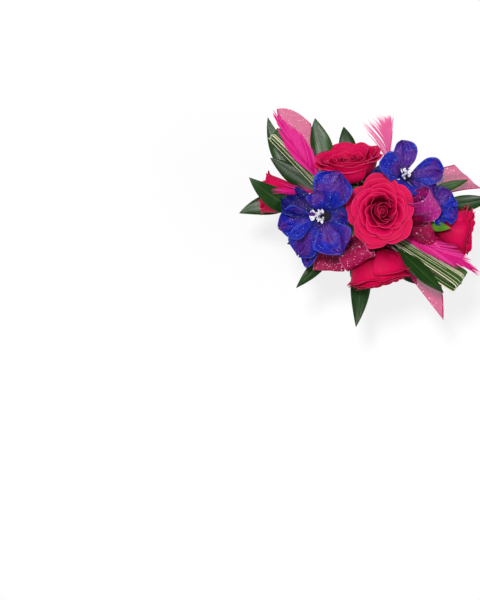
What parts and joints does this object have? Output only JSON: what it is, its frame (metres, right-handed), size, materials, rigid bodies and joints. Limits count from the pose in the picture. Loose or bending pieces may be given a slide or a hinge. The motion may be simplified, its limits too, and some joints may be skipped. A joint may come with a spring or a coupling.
{
  "type": "wrist corsage",
  "caption": "Wrist corsage of roses, delphinium, ruscus, feathers, lily grass and organza bows bound on a plate with an elastic wrist strap.",
  "frame": {"origin": "middle of the wrist that the band goes round, at the middle of the band's width", "axes": "+X along the forearm, +Y across the wrist, +Z out of the wrist through the flowers"},
  "size_m": [0.1289, 0.1144, 0.0817],
  "materials": {
    "rose_petal": "soft satin petal",
    "rose_green": "matt",
    "delphinium_blue": "soft satin petal",
    "bee_white": "matt",
    "organza": "sheer with glitter",
    "feather": "soft dyed barbs",
    "striped_grass": "satin, cream striped",
    "ruscus_leaf": "glossy",
    "floral_tape": "waxed matt",
    "coated_wire": "satin",
    "plate_steel": "bright",
    "elastic": "woven matt"
  },
  "bodies": {
    "spray": {"rose_centre_bloom": "rose_petal", "rose_centre_calyx": "rose_green", "rose_top_bloom": "rose_petal", "rose_top_calyx": "rose_green", "rose_bottom_bloom": "rose_petal", "rose_bottom_calyx": "rose_green", "rose_right_bloom": "rose_petal", "rose_right_calyx": "rose_green", "rose_left_bloom": "rose_petal", "rose_left_calyx": "rose_green", "delphinium_left_sepals": "delphinium_blue", "delphinium_upper_right_sepals": "delphinium_blue", "delphinium_right_sepals": "delphinium_blue", "delphinium_left_bee": "bee_white", "delphinium_upper_right_bee": "bee_white", "ribbon_loop_right": "organza", "ribbon_loop_lower_right": "organza", "ribbon_loop_lower": "organza", "ribbon_tail_upper_left": "organza", "ribbon_tail_right": "organza", "ribbon_tail_lower_right": "organza", "ribbon_tail_lower_left": "organza", "feather_upper_left": "feather", "feather_left": "feather", "feather_top": "feather", "feather_lower_right": "feather", "grass_upper_left": "striped_grass", "grass_lower_right": "striped_grass", "grass_lower_right_outer": "striped_grass", "leaf_far_upper_left": "ruscus_leaf", "leaf_upper_left": "ruscus_leaf", "leaf_top": "ruscus_leaf", "leaf_mid_left": "ruscus_leaf", "leaf_left": "ruscus_leaf", "leaf_far_left": "ruscus_leaf", "leaf_lower_left": "ruscus_leaf", "leaf_bottom": "ruscus_leaf", "leaf_lower_right": "ruscus_leaf", "leaf_under_rose": "ruscus_leaf", "leaf_right": "ruscus_leaf", "leaf_far_right": "ruscus_leaf", "leaf_small_right": "ruscus_leaf", "leaf_side_left": "ruscus_leaf", "taped_core": "floral_tape", "binding_wire": "coated_wire", "wrist_plate": "plate_steel", "elastic_side_rear": "elastic", "elastic_side_front": "elastic"},
    "band": {"elastic_palm": "elastic"}
  },
  "joints": [
    {"name": "band_stretch", "type": "slide", "parent": "spray", "child": "band", "axis": [0, 0, -1], "range_m": [0, 0.018], "stiffness_N_per_m": 120, "deforming": ["elastic_side_rear", "elastic_side_front"]}
  ]
}
